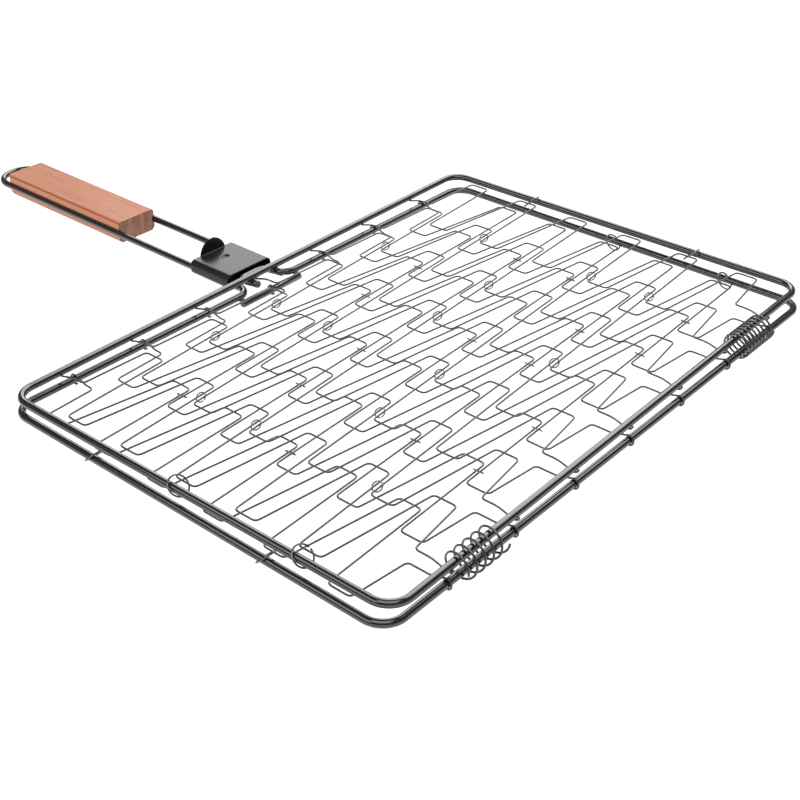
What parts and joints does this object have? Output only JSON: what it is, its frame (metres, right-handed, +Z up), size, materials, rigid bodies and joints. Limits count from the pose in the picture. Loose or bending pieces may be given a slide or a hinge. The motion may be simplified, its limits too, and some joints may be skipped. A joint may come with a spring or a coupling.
{
  "type": "grill basket",
  "caption": "Flexible hinged wire grill basket with zigzag mesh, sliding sleeve latch and a wooden grip on a long looped wire handle.",
  "frame": {"origin": "centre of the whole basket's outline in plan, on the surface that it lies on", "axes": "+X from the grip towards the hinge side, +Y across the basket, +Z up through the closed lid"},
  "size_m": [0.4802, 0.3498, 0.02],
  "materials": {
    "frame_wire": "gloss black non-stick coating",
    "sleeve_sheet": "gloss black non-stick coating",
    "mesh_wire": "satin black non-stick coating",
    "ring_wire": "dark drawn wire",
    "spring_wire": "dark drawn wire",
    "grip_wood": "smooth oiled hardwood"
  },
  "bodies": {
    "base": {"lower_frame": "frame_wire", "bridge_bar": "frame_wire", "wood_grip": "grip_wood", "lower_strand_1": "mesh_wire", "lower_strand_2": "mesh_wire", "lower_strand_3": "mesh_wire", "lower_strand_4": "mesh_wire", "lower_strand_5": "mesh_wire", "lower_strand_6": "mesh_wire", "lower_strand_7": "mesh_wire", "lower_link_rings": "ring_wire", "lower_side_rings": "ring_wire", "hinge_spring_near": "spring_wire", "hinge_spring_far": "spring_wire"},
    "lid": {"upper_frame": "frame_wire", "catch_loop": "frame_wire", "upper_strand_1": "mesh_wire", "upper_strand_2": "mesh_wire", "upper_strand_3": "mesh_wire", "upper_strand_4": "mesh_wire", "upper_strand_5": "mesh_wire", "upper_strand_6": "mesh_wire", "upper_strand_7": "mesh_wire", "upper_link_rings": "ring_wire", "upper_side_rings": "ring_wire"},
    "latch": {"latch_sleeve": "sleeve_sheet"}
  },
  "joints": [
    {"name": "lid_hinge", "type": "hinge", "parent": "base", "child": "lid", "pos_m": [0.23073, 0.00242, 0.0141], "axis": [-0.0122, 0.9999, 0], "range_deg": [0, 180]},
    {"name": "latch_slide", "type": "slide", "parent": "base", "child": "latch", "axis": [-1, 0, 0], "range_m": [-0.0035, 0.064]}
  ]
}
